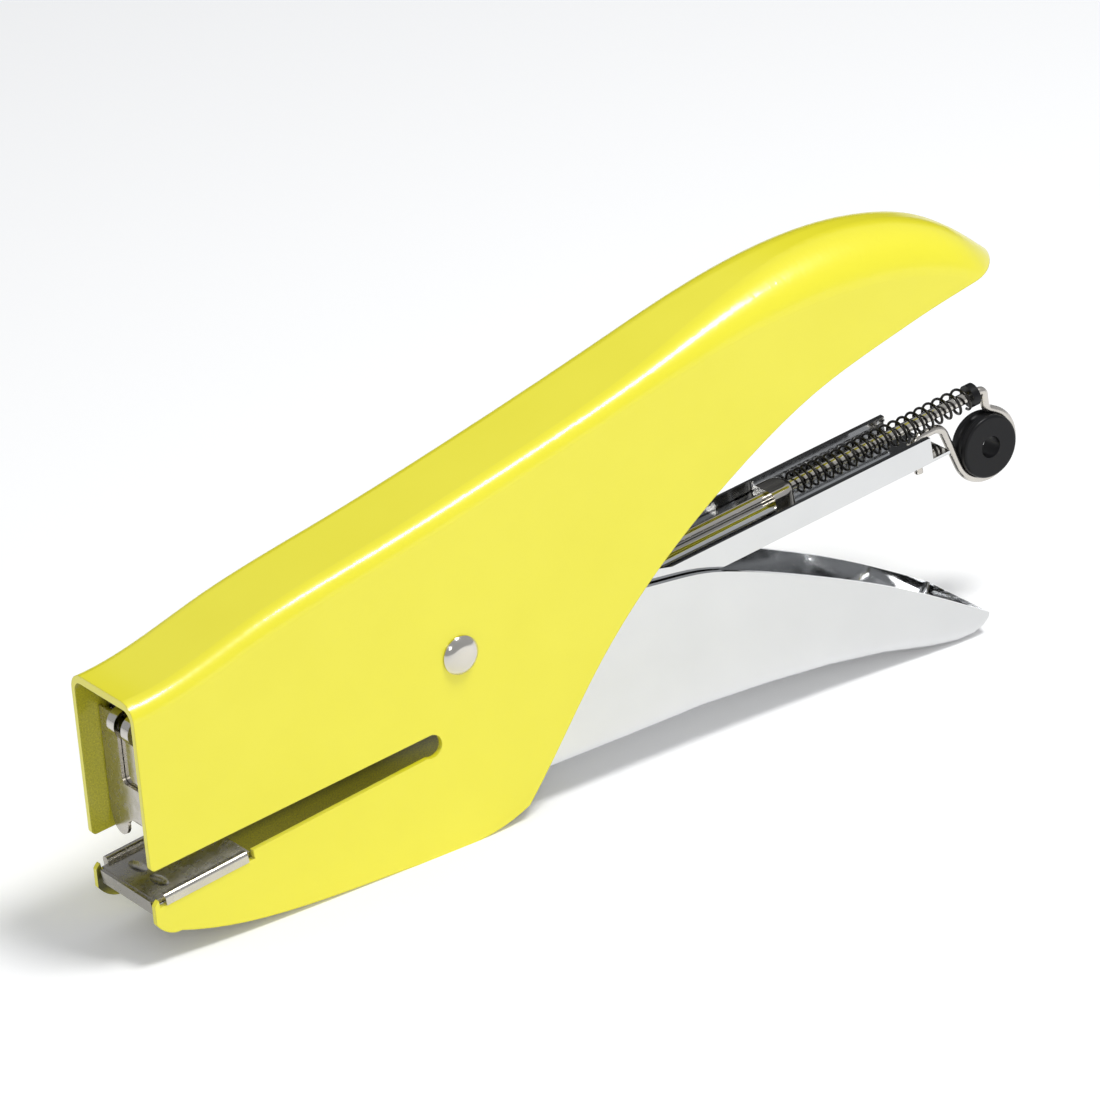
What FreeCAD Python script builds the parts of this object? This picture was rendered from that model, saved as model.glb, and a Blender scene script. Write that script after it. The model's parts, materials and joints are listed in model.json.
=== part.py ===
"""Plier stapler: a bent steel shell with a lower lever, a swinging magazine and a pull-out staple pusher."""
import FreeCAD, Part
import math
import os

Vector = FreeCAD.Vector
doc = FreeCAD.newDocument("plier_stapler")

# ---------------------------------------------------------------- driving sizes, in mm and degrees
# Heights and reaches are measured from the pivot rivet: +X to the handles, +Z up, +Y to the far side.
SIZES = {
    # shell: jaw, head and upper handle in one sheet
    "shell_width": 19.2,
    "shell_sheet": 1.0,
    "shell_bend": 3.2,
    "handle_bend": 8.6,
    "pivot_height": 35.5,
    "front_reach": 64.0,
    "handle_reach": 122.8,
    "nose_height": 12.8,
    "waist_reach": 30.0,
    "waist_height": 34.5,
    "crown_reach": 88.0,
    "crown_height": 47.9,
    "tip_height": 33.6,
    "heel_reach": 11.3,
    "jaw_overhang": 0.6,
    # throat, the gap that takes the paper
    "throat_reach": 5.3,
    "throat_top": 12.6,
    "throat_gap": 4.1,
    "head_drop": 17.7,
    "anvil_drop": 23.1,
    # anvil
    "anvil_length": 19.0,
    "anvil_sheet": 1.0,
    "anvil_seat": 1.6,
    "anvil_overhang": 0.2,
    "anvil_sink": 0.7,
    "anvil_rail": 0.4,
    "clinch_depth": 0.35,
    # pivot
    "rivet_radius": 2.0,
    "rivet_head_radius": 3.5,
    "rivet_head_height": 1.4,
    "bush_wall": 0.5,
    "running_gap": 0.06,
    # lower lever
    "lever_sheet": 0.9,
    "lever_gap": 0.15,
    "lever_flare": 0.65,
    "lever_bend": 2.6,
    "lever_reach": 113.0,
    "lever_web_drop": 28.8,
    "lever_web_front": 12.0,
    "tail_lip": 4.0,
    "nose_pin_radius": 1.8,
    "nose_pin_height": 4.25,
    "nose_pin_setback": 8.1,
    # staples and magazine
    "crown_width": 12.9,
    "staple_leg": 6.0,
    "staple_wire": 0.6,
    "magazine_sheet": 0.6,
    "magazine_gap": 0.05,
    "magazine_tilt": 5.6,
    "magazine_drop": 9.5,
    "magazine_reach": 103.2,
    "magazine_wall": 4.75,
    "tongue_length": 3.8,
    "driver_sheet": 0.6,
    "driver_gap": 0.1,
    "plate_sheet": 0.6,
    "plate_setback": 4.0,
    "plate_top": 5.5,
    "fork_drop": 17.5,
    "fork_notch": 3.2,
    "window_width": 6.8,
    "window_drop": 7.2,
    "curl_sheet": 0.7,
    "curl_gap": 0.2,
    "curl_width": 2.2,
    "curl_spacing": 4.3,
    # loader: rod, pusher, spring, wire bow and wheel
    "rod_radius": 1.05,
    "rod_height": 4.5,
    "rod_reach": 118.8,
    "cap_radius": 2.1,
    "cap_length": 1.5,
    "pusher_sheet": 0.6,
    "pusher_rear": 77.0,
    "pusher_length": 36.0,
    "pusher_width": 6.6,
    "nose_length": 5.5,
    "spring_radius": 2.15,
    "spring_wire": 0.45,
    "bow_wire_radius": 0.8,
    "wheel_radius": 5.9,
    "wheel_width": 4.2,
    "wheel_hole_radius": 2.05,
    "wheel_setback": 1.6,
    "wheel_drop": 10.3,
    "hook_reach": 104.6,
}

sheet = doc.addObject("Spreadsheet::Sheet", "sizes")
for row, (alias, value) in enumerate(SIZES.items(), start=1):
    sheet.set("A%d" % row, alias)
    sheet.set("B%d" % row, str(value))
    sheet.setAlias("B%d" % row, alias)
doc.recompute()


def size(alias):
    """The number in the sheet's cell of this name."""
    return float(getattr(sheet, alias))


# ---------------------------------------------------------------- sizes that follow from the driving ones
half_width = size("shell_width") / 2
shell_inside = half_width - size("shell_sheet")
lever_outside = shell_inside - size("lever_gap")
lever_inside = lever_outside - size("lever_sheet")
crown_half = size("crown_width") / 2
magazine_inside = crown_half + size("magazine_gap")
magazine_outside = magazine_inside + size("magazine_sheet")
tilt = math.radians(size("magazine_tilt"))

plate_front = -size("front_reach") + size("plate_setback")
plate_back = plate_front + size("plate_sheet")
driver_front = plate_back + size("driver_gap")
driver_back = driver_front + size("driver_sheet")
magazine_front = driver_back + size("driver_gap") + 0.2
curl_inside = size("nose_pin_radius") + size("curl_gap")
curl_outside = curl_inside + size("curl_sheet")
nose_pin_x = -size("front_reach") + size("nose_pin_setback")

floor_under = -size("magazine_drop")
floor_top = floor_under + size("magazine_sheet")
crown_top = floor_top + 0.1 + size("staple_leg")
rod_level = floor_under + size("rod_height")
pusher_front = size("pusher_rear") - size("pusher_length")

# the loop of the bow wire hangs round the wheel, below and behind the rod's end
rod_end = Vector(
    size("rod_reach") * math.cos(tilt) - rod_level * math.sin(tilt),
    0,
    size("rod_reach") * math.sin(tilt) + rod_level * math.cos(tilt),
)
loop_radius = size("wheel_radius") + 0.45
wheel_x = rod_end.x + size("wheel_setback")
wheel_z = rod_end.z - size("wheel_drop")
loop_rear = wheel_x + loop_radius + size("bow_wire_radius")

# the frame's origin is under the middle of the whole length, on the surface the stapler stands on
jaw_front = size("front_reach") + size("jaw_overhang")
pivot_x = (jaw_front - loop_rear) / 2
pivot_z = size("pivot_height")
PIVOT = FreeCAD.Placement(Vector(pivot_x, 0, pivot_z), FreeCAD.Rotation())
IN_MAGAZINE = FreeCAD.Placement(
    Vector(pivot_x, 0, pivot_z), FreeCAD.Rotation(Vector(0, 1, 0), -size("magazine_tilt"))
)


# ---------------------------------------------------------------- drawing helpers
def at(x, z):
    """A point of the side view, from the pivot."""
    return Vector(x, 0, z)


def along(u, w):
    """A point given along and square to the magazine's floor, from the pivot."""
    return Vector(u * math.cos(tilt) - w * math.sin(tilt), 0, u * math.sin(tilt) + w * math.cos(tilt))


def floor_height(x, w):
    """Height at x of a line that runs parallel to the magazine's floor."""
    return (w + x * math.sin(tilt)) / math.cos(tilt)


def line(start, end):
    return Part.LineSegment(start, end).toShape()


def arc(start, middle, end):
    return Part.Arc(start, middle, end).toShape()


def curve(points):
    """A smooth edge through the points."""
    spline = Part.BSplineCurve()
    spline.interpolate(points)
    return spline.toShape()


def polygon(points):
    """Straight edges round the points, closed."""
    return [line(a, b) for a, b in zip(points, points[1:] + points[:1])]


def slab(name, edges, high, low, direction=Vector(0, 1, 0)):
    """A flat outline carried from -low to +high along the direction; both are sheet expressions."""
    outline = doc.addObject("Part::Feature", name + "_outline")
    outline.Shape = Part.Face(Part.Wire(Part.__sortEdges__(edges)))
    body = doc.addObject("Part::Extrusion", name)
    body.Base = outline
    body.DirMode = "Custom"
    body.Dir = direction
    body.Solid = True
    body.setExpression("LengthFwd", high)
    body.setExpression("LengthRev", low)
    return body


def pair(name, edges, outer, inner):
    """The same slab on both sides of the middle plane, between two distances from it."""
    far = slab(name + "_far", edges, outer, "-(%s)" % inner)
    near = slab(name + "_near", edges, "-(%s)" % inner, outer)
    return [far, near]


def cross_hole(name, radius, x, z):
    """A cylinder right across the stapler, for a hole."""
    reach = size("shell_width")
    body = doc.addObject("Part::Cylinder", name)
    body.setExpression("Radius", radius)
    body.Height = 2 * reach
    body.Placement = FreeCAD.Placement(Vector(x, -reach, z), FreeCAD.Rotation(Vector(1, 0, 0), -90))
    return body


def brick(name, low, high):
    """A block between two corners."""
    body = doc.addObject("Part::Box", name)
    body.Length = high[0] - low[0]
    body.Width = high[1] - low[1]
    body.Height = high[2] - low[2]
    body.Placement = FreeCAD.Placement(Vector(*low), FreeCAD.Rotation())
    return body


def fuse(name, shapes):
    body = doc.addObject("Part::MultiFuse", name)
    body.Shapes = shapes
    body.Refine = True
    return body


def cut(name, base, tools):
    body = doc.addObject("Part::Cut", name)
    body.Base = base
    body.Tool = tools[0] if len(tools) == 1 else fuse(name + "_tools", tools)
    body.Refine = True
    return body


def common(name, base, tool):
    body = doc.addObject("Part::Common", name)
    body.Base = base
    body.Tool = tool
    body.Refine = True
    return body


NODES = []


def node(body, label, place=PIVOT):
    """Names the finished piece and carries it from its own frame to the stapler's."""
    body.Label = label
    body.Placement = place.multiply(body.Placement)
    NODES.append(body)
    return body


# ---------------------------------------------------------------- body_shell
def spine_points():
    """The top line of the shell, from the nose over the crown to the tip of the handle."""
    back = size("handle_reach")
    nose = at(-size("front_reach"), size("nose_height"))
    waist = at(size("waist_reach"), size("waist_height"))
    crown = at(size("crown_reach"), size("crown_height"))
    tip = at(back - 0.5, size("tip_height") + 0.3)
    fall = crown.z - tip.z
    after = tip.x - crown.x
    return [
        nose,
        nose + (waist - nose) * 0.14 + at(0, 0.25),
        nose + (waist - nose) * 0.5,
        waist,
        at(waist.x + 0.27 * (crown.x - waist.x), waist.z + 0.33 * (crown.z - waist.z)),
        at(waist.x + 0.54 * (crown.x - waist.x), waist.z + 0.69 * (crown.z - waist.z)),
        crown,
        at(crown.x + 0.50 * after, crown.z - 0.20 * fall),
        at(crown.x + 0.75 * after, crown.z - 0.50 * fall),
        at(crown.x + 0.90 * after, crown.z - 0.79 * fall),
        tip,
    ]


def height_on(edge, x):
    """Height of a left-to-right curve at x, by halving; past its ends it goes on straight."""
    spline = edge.Curve
    low, high = edge.ParameterRange
    first, last = spline.value(low), spline.value(high)
    if x <= first.x:
        slope = spline.tangent(low)[0]
        return first.z + (x - first.x) * slope.z / slope.x
    if x >= last.x:
        slope = spline.tangent(high)[0]
        return last.z + (x - last.x) * slope.z / slope.x
    for _ in range(50):
        middle = (low + high) / 2
        if spline.value(middle).x < x:
            low = middle
        else:
            high = middle
    return spline.value(low).z


def moved_inward(edge, distance, count=24):
    """The same curve, shifted square to itself towards the inside of the shell."""
    spline = edge.Curve
    low, high = edge.ParameterRange
    points = []
    for step in range(count + 1):
        where = low + (high - low) * step / count
        slope = spline.tangent(where)[0]
        points.append(spline.value(where) + Vector(slope.z, 0, -slope.x) * distance)
    return curve(points)


def bend_at(x, inset):
    """Radius of the long bend: small on the head, swelling to a dome on the handle."""
    start = size("waist_reach")
    end = size("crown_reach") + 8
    share = min(max((x - start) / (end - start), 0), 1)
    share = share * share * (3 - 2 * share)
    return size("shell_bend") + (size("handle_bend") - size("shell_bend")) * share - inset


def shell_section(name, x, top, half, bend):
    """One upright section of the closed form that the sheet is pressed round."""
    bend = min(bend, 0.96 * half)
    low = -size("pivot_height") - 6
    corner = bend * (1 - math.sqrt(0.5))
    points = [
        Vector(x, -half, low),
        Vector(x, -half, top - bend),
        Vector(x, -half + corner, top - corner),
        Vector(x, -half + bend, top),
        Vector(x, half - bend, top),
        Vector(x, half - corner, top - corner),
        Vector(x, half, top - bend),
        Vector(x, half, low),
    ]
    edges = [
        line(points[0], points[1]),
        arc(points[1], points[2], points[3]),
        line(points[3], points[4]),
        arc(points[4], points[5], points[6]),
        line(points[6], points[7]),
        line(points[7], points[0]),
    ]
    section = doc.addObject("Part::Feature", name)
    section.Shape = Part.Wire(edges)
    return section


def shell_form(name, spine, inset, front):
    """Solid form of the shell, inset by a distance from the outside."""
    half = half_width - inset
    round_start = size("handle_reach") - half_width
    straight = [0.0, 0.14, 0.28, 0.42, 0.52, 0.61, 0.70, 0.79, 0.87, 0.94, 1.0]
    stations = [(front + share * (round_start - front), half) for share in straight]
    for degrees in (22, 40, 55, 67, 76, 83):
        turn = math.radians(degrees)
        stations.append((round_start + half * math.sin(turn), half * math.cos(turn)))
    sections = []
    for count, (x, side) in enumerate(stations):
        top = height_on(spine, x)
        sections.append(shell_section("%s_section_%d" % (name, count), x, top, side, bend_at(x, inset)))
    form = doc.addObject("Part::Loft", name)
    form.Sections = sections
    form.Solid = True
    form.Ruled = False
    return form


def throat_floor(x):
    """Height of the throat's lower edge, which is also the anvil's bed."""
    back = -size("throat_top") - size("throat_gap")
    run = size("front_reach") - size("throat_reach") - 3
    return back + (x + size("throat_reach") + 3) * (size("anvil_drop") + back) / run


def shell_side():
    """Side outline of the shell: head, throat, jaw, heel and the handle's lower edge."""
    front = -size("front_reach")
    deep = size("pivot_height") - size("anvil_drop")
    sill = -size("anvil_drop")
    end = -size("throat_reach")
    roof = -size("throat_top")
    above = size("crown_height") + 10
    past = size("handle_reach") + 3
    gap = size("throat_gap")
    corner = at(front, -size("head_drop"))
    roof_slope = (roof + size("head_drop")) / (end - 2 - front)
    bed_front = at(front + 2.2, throat_floor(front + 2.2))
    bed_back = at(end - 3, throat_floor(end - 3))
    heel = at(size("heel_reach"), sill - 0.77 * deep)
    back = size("handle_reach")
    rise = size("tip_height") - heel.z
    run = back - heel.x
    return [
        line(at(front, above), at(front, corner.z + 1)),
        arc(at(front, corner.z + 1), at(front + 0.3, corner.z + 0.32), at(front + 1, corner.z + roof_slope)),
        line(at(front + 1, corner.z + roof_slope), at(end - 2, roof)),
        arc(at(end - 2, roof), at(end, roof - 0.45 * gap), bed_back),
        line(bed_back, bed_front),
        curve(
            [
                bed_front,
                at(front - size("jaw_overhang") + 0.9, sill - 0.05 * deep),
                at(front - size("jaw_overhang") + 0.1, sill - 0.21 * deep),
                at(front - size("jaw_overhang") + 0.9, sill - 0.39 * deep),
                at(front + 4.6, sill - 0.56 * deep),
            ]
        ),
        curve(
            [
                at(front + 4.6, sill - 0.56 * deep),
                at(0.81 * front, sill - 0.74 * deep),
                at(0.57 * front, sill - 0.92 * deep),
                at(0.19 * front, sill - deep),
                at(0.45 * heel.x, sill - 0.945 * deep),
                heel,
            ]
        ),
        curve(
            [
                heel,
                at(heel.x + 0.064 * run, heel.z + 0.134 * rise),
                at(heel.x + 0.151 * run, heel.z + 0.320 * rise),
                at(heel.x + 0.275 * run, heel.z + 0.522 * rise),
                at(heel.x + 0.439 * run, heel.z + 0.714 * rise),
                at(heel.x + 0.601 * run, heel.z + 0.851 * rise),
                at(heel.x + 0.761 * run, heel.z + 0.930 * rise),
                at(heel.x + 0.917 * run, heel.z + 0.990 * rise),
                at(past, heel.z + 1.003 * rise),
            ]
        ),
        line(at(past, heel.z + 1.003 * rise), at(past, above)),
        line(at(past, above), at(front, above)),
    ]


def anvil_frame():
    """Place of the anvil: its front edge on the bed, sloping with it."""
    front = -size("front_reach") + 0.9
    slope = math.atan2(throat_floor(0) - throat_floor(-10), 10)
    turn = FreeCAD.Rotation(Vector(0, 1, 0), -math.degrees(slope))
    return FreeCAD.Placement(Vector(front, 0, throat_floor(front)), turn)


def make_body_shell():
    spine = curve(spine_points())
    inside = moved_inward(spine, size("shell_sheet"))
    outer = shell_form("shell_outside", spine, 0, -size("front_reach"))
    inner = shell_form("shell_inside", inside, size("shell_sheet"), -size("front_reach") - 2)
    side = slab("shell_side", shell_side(), "sizes.shell_width", "sizes.shell_width")
    bar = common("shell_bar", outer, side)
    wide = size("shell_width")
    play = 0.05
    seat = brick("anvil_seat", (-play, -wide, -size("anvil_seat")), (size("anvil_length") + play, wide, 2))
    seat.Placement = anvil_frame().multiply(seat.Placement)
    hole = cross_hole("shell_rivet_hole", "sizes.rivet_radius", 0, 0)
    node(cut("body_shell_cut", bar, [inner, seat, hole]), "body_shell")


# ---------------------------------------------------------------- anvil_plate
def make_anvil():
    """A tray between the jaw's walls whose side rails sit on the walls' edges."""
    long = size("anvil_length")
    wide = half_width + size("anvil_overhang")
    inner = shell_inside - 0.5
    seat = size("anvil_seat")
    sunk = size("anvil_sink")
    crest = size("anvil_rail")
    middle = (inner + wide) / 2
    shoulder = crest - 0.75
    parts = []
    for name, side in (("far", 1), ("near", -1)):
        edges = [
            line(Vector(0, side * inner, -seat), Vector(0, side * inner, shoulder)),
            arc(
                Vector(0, side * inner, shoulder),
                Vector(0, side * middle, crest),
                Vector(0, side * wide, shoulder),
            ),
            line(Vector(0, side * wide, shoulder), Vector(0, side * wide, -seat)),
            line(Vector(0, side * wide, -seat), Vector(0, side * inner, -seat)),
        ]
        parts.append(slab("anvil_rail_" + name, edges, "sizes.anvil_length - 1.2", "-1.2", Vector(1, 0, 0)))
    floor = brick("anvil_floor", (0, -inner - 0.2, -seat), (long, inner + 0.2, -sunk))
    lip = brick("anvil_lip", (-size("anvil_sheet") + 0.3, -inner + 0.3, -3.4), (0.2, inner - 0.3, -0.9))
    tray = fuse("anvil_tray", parts + [floor, lip])
    pockets = []
    for name, centre in (("far", 3.3), ("near", -3.3)):
        pocket = doc.addObject("Part::Ellipsoid", "clinch_pocket_" + name)
        pocket.Radius1 = size("clinch_depth") + 0.35
        pocket.Radius2 = 1.3
        pocket.Radius3 = 2.9
        pocket.Placement = FreeCAD.Placement(Vector(4.0, centre, -sunk + 0.35), FreeCAD.Rotation())
        pockets.append(pocket)
    node(cut("anvil_cut", tray, pockets), "anvil_plate", PIVOT.multiply(anvil_frame()))


# ---------------------------------------------------------------- pivot_rivet and pivot_bush
def make_pivot():
    reach = half_width
    head = size("rivet_head_radius")
    rise = size("rivet_head_height")
    shank = size("rivet_radius")
    body = doc.addObject("PartDesign::Body", "rivet_body")
    plane = next(f for f in body.Origin.OriginFeatures if f.Role == "XY_Plane")
    sketch = body.newObject("Sketcher::SketchObject", "rivet_profile")
    sketch.AttachmentSupport = [(plane, "")]
    sketch.MapMode = "FlatFace"
    # half section of the rivet about the Y axis: shank, flat under each head, domed top with a flat crown
    shoulder = Vector(head, reach, 0)
    rim = Vector(head, reach + 0.3, 0)
    dome = Vector(0.78 * head, reach + 0.3 + 0.62 * (rise - 0.3), 0)
    crown = Vector(0.3 * head, reach + rise, 0)
    middle = Vector(0, reach + rise, 0)
    neck = Vector(shank, reach, 0)

    def across(point):
        return Vector(point.x, -point.y, 0)

    for geometry in (
        Part.LineSegment(neck, shoulder),
        Part.LineSegment(shoulder, rim),
        Part.Arc(rim, dome, crown),
        Part.LineSegment(crown, middle),
        Part.LineSegment(middle, across(middle)),
        Part.LineSegment(across(middle), across(crown)),
        Part.Arc(across(crown), across(dome), across(rim)),
        Part.LineSegment(across(rim), across(shoulder)),
        Part.LineSegment(across(shoulder), across(neck)),
        Part.LineSegment(across(neck), neck),
    ):
        sketch.addGeometry(geometry)
    turned = body.newObject("PartDesign::Revolution", "rivet_turned")
    turned.Profile = sketch
    turned.ReferenceAxis = (sketch, ["V_Axis"])
    turned.Angle = 360
    body.Tip = turned
    node(body, "pivot_rivet")

    inner = size("rivet_radius") + size("running_gap")
    reach = magazine_inside - 0.2
    tube = doc.addObject("Part::Cylinder", "bush_outside")
    tube.Radius = inner + size("bush_wall")
    tube.Height = 2 * reach
    tube.Placement = FreeCAD.Placement(Vector(0, -reach, 0), FreeCAD.Rotation(Vector(1, 0, 0), -90))
    bore = cross_hole("bush_bore", "sizes.rivet_radius + sizes.running_gap", 0, 0)
    node(cut("bush_cut", tube, [bore]), "pivot_bush")


# ---------------------------------------------------------------- lower_handle and nose_pin
def lever_bottom():
    """Underside of the lever from the tail's corner to the front of its web."""
    low = -size("pivot_height")
    web = -size("lever_web_drop")
    back = size("lever_reach")
    start = size("lever_web_front")
    run = back - start
    fall = low - web
    lip = size("tail_lip")
    return [
        at(back, low + lip),
        at(back - 0.6, low + 0.42 * lip),
        at(back - 3.2, low + 0.06 * lip),
        at(start + 0.925 * run, low),
        at(start + 0.848 * run, web + 0.80 * fall),
        at(start + 0.760 * run, web + 0.50 * fall),
        at(start + 0.586 * run, web + 0.18 * fall),
        at(start + 0.413 * run, web),
        at(start + 0.240 * run, web),
        at(start, web - 0.1),
    ]


def lever_top():
    """Upper edge of the lever's walls from the tail forward to the pivot."""
    back = at(size("lever_reach"), -size("pivot_height") + size("tail_lip"))
    start = at(0.46 * size("lever_reach"), -3.0)
    run = back.x - start.x
    fall = back.z - start.z
    return [
        back,
        at(start.x + 0.93 * run, start.z + 0.91 * fall),
        at(start.x + 0.685 * run, start.z + 0.61 * fall),
        at(start.x + 0.42 * run, start.z + 0.34 * fall),
        at(start.x + 0.15 * run, start.z + 0.10 * fall),
        start,
        at(0.36 * size("lever_reach"), -1.6),
        at(0.22 * size("lever_reach"), 1.1),
        at(8.0, 4.9),
    ]


def lever_side():
    """Side outline of the lever, with the two arms that reach forward to the nose pin."""
    top = lever_top()
    bottom = lever_bottom()
    nose = nose_pin_x - size("nose_pin_radius") - 0.8
    high = size("nose_pin_height") + 3.2
    low = size("nose_pin_height") - 3.2
    eye = size("rivet_radius") + 3.6
    return [
        curve(top),
        line(top[-1], at(0, eye)),
        curve([at(0, eye), at(0.25 * nose, eye + 0.4), at(0.8 * nose, high), at(nose + 2.4, high)]),
        arc(at(nose + 2.4, high), at(nose + 0.7, high - 0.9), at(nose, high - 3)),
        line(at(nose, high - 3), at(nose, low + 1)),
        line(at(nose, low + 1), at(nose + 1, low)),
        curve([at(nose + 1, low), at(0.6 * nose, low - 1.2), at(0.2 * nose, -eye + 1.5), at(-4.5, -eye)]),
        line(at(-4.5, -eye), at(size("lever_web_front") - 3, -0.78 * size("lever_web_drop"))),
        line(at(size("lever_web_front") - 3, -0.78 * size("lever_web_drop")), bottom[-1]),
        curve(bottom),
    ]


def lever_trough(floor):
    """Side outline of the space between the lever's walls: above the web, in front of the tail."""
    first = floor.Vertexes[0].Point
    last = floor.Vertexes[-1].Point
    above = size("crown_height")
    front = -size("front_reach") - 5
    under = -size("pivot_height") - 5
    return [
        floor,
        line(last, at(last.x, above)),
        line(at(last.x, above), at(front, above)),
        line(at(front, above), at(front, under)),
        line(at(front, under), at(first.x, under)),
        line(at(first.x, under), first),
    ]


def lever_half(x, inset):
    """Half the lever's width: even where it nests in the shell, then flaring to the tail."""
    start = 0.49 * size("lever_reach")
    share = max((x - start) / (size("lever_reach") - start), 0)
    return lever_outside - inset + size("lever_flare") * share * share


def lever_form(name, bottom, inset):
    """Solid with the lever's width and the rounded turns of its web, inset from the outside."""
    back = size("lever_reach") - inset
    start = size("lever_web_front")
    bend = size("lever_bend") - inset
    corner = bend * (1 - math.sqrt(0.5))
    above = size("crown_height") + 5
    stations = [-size("front_reach") - 6, start]
    for share in (0.2, 0.38, 0.52, 0.65, 0.77, 0.87, 0.93, 0.965, 0.985, 0.995, 1.0):
        stations.append(start + share * (back - start))
    sections = []
    for count, x in enumerate(stations):
        side = lever_half(x, inset)
        low = height_on(bottom, max(x, start))
        points = [
            Vector(x, -side, above),
            Vector(x, -side, low + bend),
            Vector(x, -side + corner, low + corner),
            Vector(x, -side + bend, low),
            Vector(x, side - bend, low),
            Vector(x, side - corner, low + corner),
            Vector(x, side, low + bend),
            Vector(x, side, above),
        ]
        section = doc.addObject("Part::Feature", "%s_section_%d" % (name, count))
        section.Shape = Part.Wire([
            line(points[0], points[1]),
            arc(points[1], points[2], points[3]),
            line(points[3], points[4]),
            arc(points[4], points[5], points[6]),
            line(points[6], points[7]),
            line(points[7], points[0]),
        ])
        sections.append(section)
    form = doc.addObject("Part::Loft", name)
    form.Sections = sections
    form.Solid = True
    form.Ruled = True
    return form


def make_lever():
    bottom = curve(lever_bottom()[::-1])
    floor = moved_inward(bottom, -size("lever_sheet"))
    side = slab("lever_side", lever_side(), "sizes.shell_width", "sizes.shell_width")
    outside = common("lever_outside", side, lever_form("lever_blank", bottom, 0))
    trough = slab("lever_trough", lever_trough(floor), "sizes.shell_width", "sizes.shell_width")
    inside = common("lever_inside", trough, lever_form("lever_space", floor, size("lever_sheet")))
    eye = cross_hole("lever_eye", "sizes.rivet_radius + sizes.running_gap", 0, 0)
    pin_hole = cross_hole("lever_pin_hole", "sizes.nose_pin_radius", nose_pin_x, size("nose_pin_height"))
    node(cut("lever_cut", outside, [inside, eye, pin_hole]), "lower_handle")

    pin = doc.addObject("Part::Cylinder", "nose_pin_shaft")
    pin.setExpression("Radius", "sizes.nose_pin_radius")
    pin.Height = 2 * lever_outside
    end = Vector(nose_pin_x, -lever_outside, size("nose_pin_height"))
    pin.Placement = FreeCAD.Placement(end, FreeCAD.Rotation(Vector(1, 0, 0), -90))
    node(pin, "nose_pin")


# ---------------------------------------------------------------- return_spring
def spring_tube(name, outside, wire, start, end):
    """The room a coil spring takes, as a tube from start to end."""
    way = end - start
    outer = doc.addObject("Part::Cylinder", name + "_outside")
    outer.Radius = outside
    outer.Height = way.Length
    inner = doc.addObject("Part::Cylinder", name + "_inside")
    inner.Radius = outside - 2 * wire
    inner.Height = way.Length
    turn = FreeCAD.Rotation(Vector(0, 0, 1), way)
    for body in (outer, inner):
        body.Placement = FreeCAD.Placement(start, turn)
    return cut(name + "_tube", outer, [inner])


def make_return_spring():
    """Stands on the lever's web and pushes the magazine's floor up, which opens the handles."""
    x = 26.0
    radius = 4.0
    low = -size("lever_web_drop") + size("lever_sheet") + 0.12
    high = floor_height(x - radius, floor_under) - 0.1
    node(spring_tube("return_spring", radius, 0.5, at(x, low), at(x, high)), "return_spring")


# ---------------------------------------------------------------- magazine_channel
def magazine_strip(name, front_x, back_u, low, high, outer, inner=None):
    """A band of the magazine, parallel to its floor, with an upright front end."""
    corners = [
        at(front_x, floor_height(front_x, low)),
        along(back_u, low),
        along(back_u, high),
        at(front_x, floor_height(front_x, high)),
    ]
    if inner is None:
        return [slab(name, polygon(corners), outer, outer)]
    return pair(name, polygon(corners), outer, inner)


def make_magazine():
    inside = "sizes.crown_width / 2 + sizes.magazine_gap"
    outside = inside + " + sizes.magazine_sheet"
    eye = size("rivet_radius") + 2.8
    shoulder = crown_top + 0.45
    rim = floor_under + size("magazine_wall")
    back = size("magazine_reach")
    step_start = pusher_front - 3
    step_end = pusher_front + 5
    wall = [
        line(at(magazine_front, floor_height(magazine_front, floor_under)), along(back, floor_under)),
        line(along(back, floor_under), along(back, rim)),
        line(along(back, rim), along(step_end, rim)),
        line(along(step_end, rim), along(step_start, shoulder)),
        line(along(step_start, shoulder), along(2 * eye, shoulder)),
        line(along(2 * eye, shoulder), along(eye, 0)),
        arc(along(eye, 0), along(0, eye), along(-eye, 0)),
        line(along(-eye, 0), along(-2 * eye, shoulder)),
        line(along(-2 * eye, shoulder), at(magazine_front, floor_height(magazine_front, shoulder))),
        line(
            at(magazine_front, floor_height(magazine_front, shoulder)),
            at(magazine_front, floor_height(magazine_front, floor_under)),
        ),
    ]
    walls = pair("magazine_wall", wall, outside, inside)
    long = back + size("tongue_length")
    floor = magazine_strip("magazine_floor", magazine_front, long, floor_under, floor_top, outside)
    hem_depth = 1.0
    hem_corners = [
        along(size("pusher_rear") - 3.2, rim - hem_depth),
        along(back, rim - hem_depth),
        along(back, rim),
        along(size("pusher_rear") - 3.2, rim),
    ]
    hems = pair("magazine_hem", polygon(hem_corners), inside + " + 0.01", inside + " - 0.45")
    channel = fuse("magazine_bent", walls + floor + hems)
    eye_hole = cross_hole("magazine_eye", "sizes.rivet_radius + sizes.running_gap", 0, 0)
    slot = brick("hook_slot", (0, 0, 0), (2.4, 2 * size("bow_wire_radius") + 0.5, 4))
    slot.Placement = FreeCAD.Placement(
        along(size("hook_reach") - 1.2, floor_under - 1) - Vector(0, size("bow_wire_radius") + 0.25, 0),
        FreeCAD.Rotation(Vector(0, 1, 0), -size("magazine_tilt")),
    )
    node(cut("magazine_cut", channel, [eye_hole, slot]), "magazine_channel")


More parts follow.
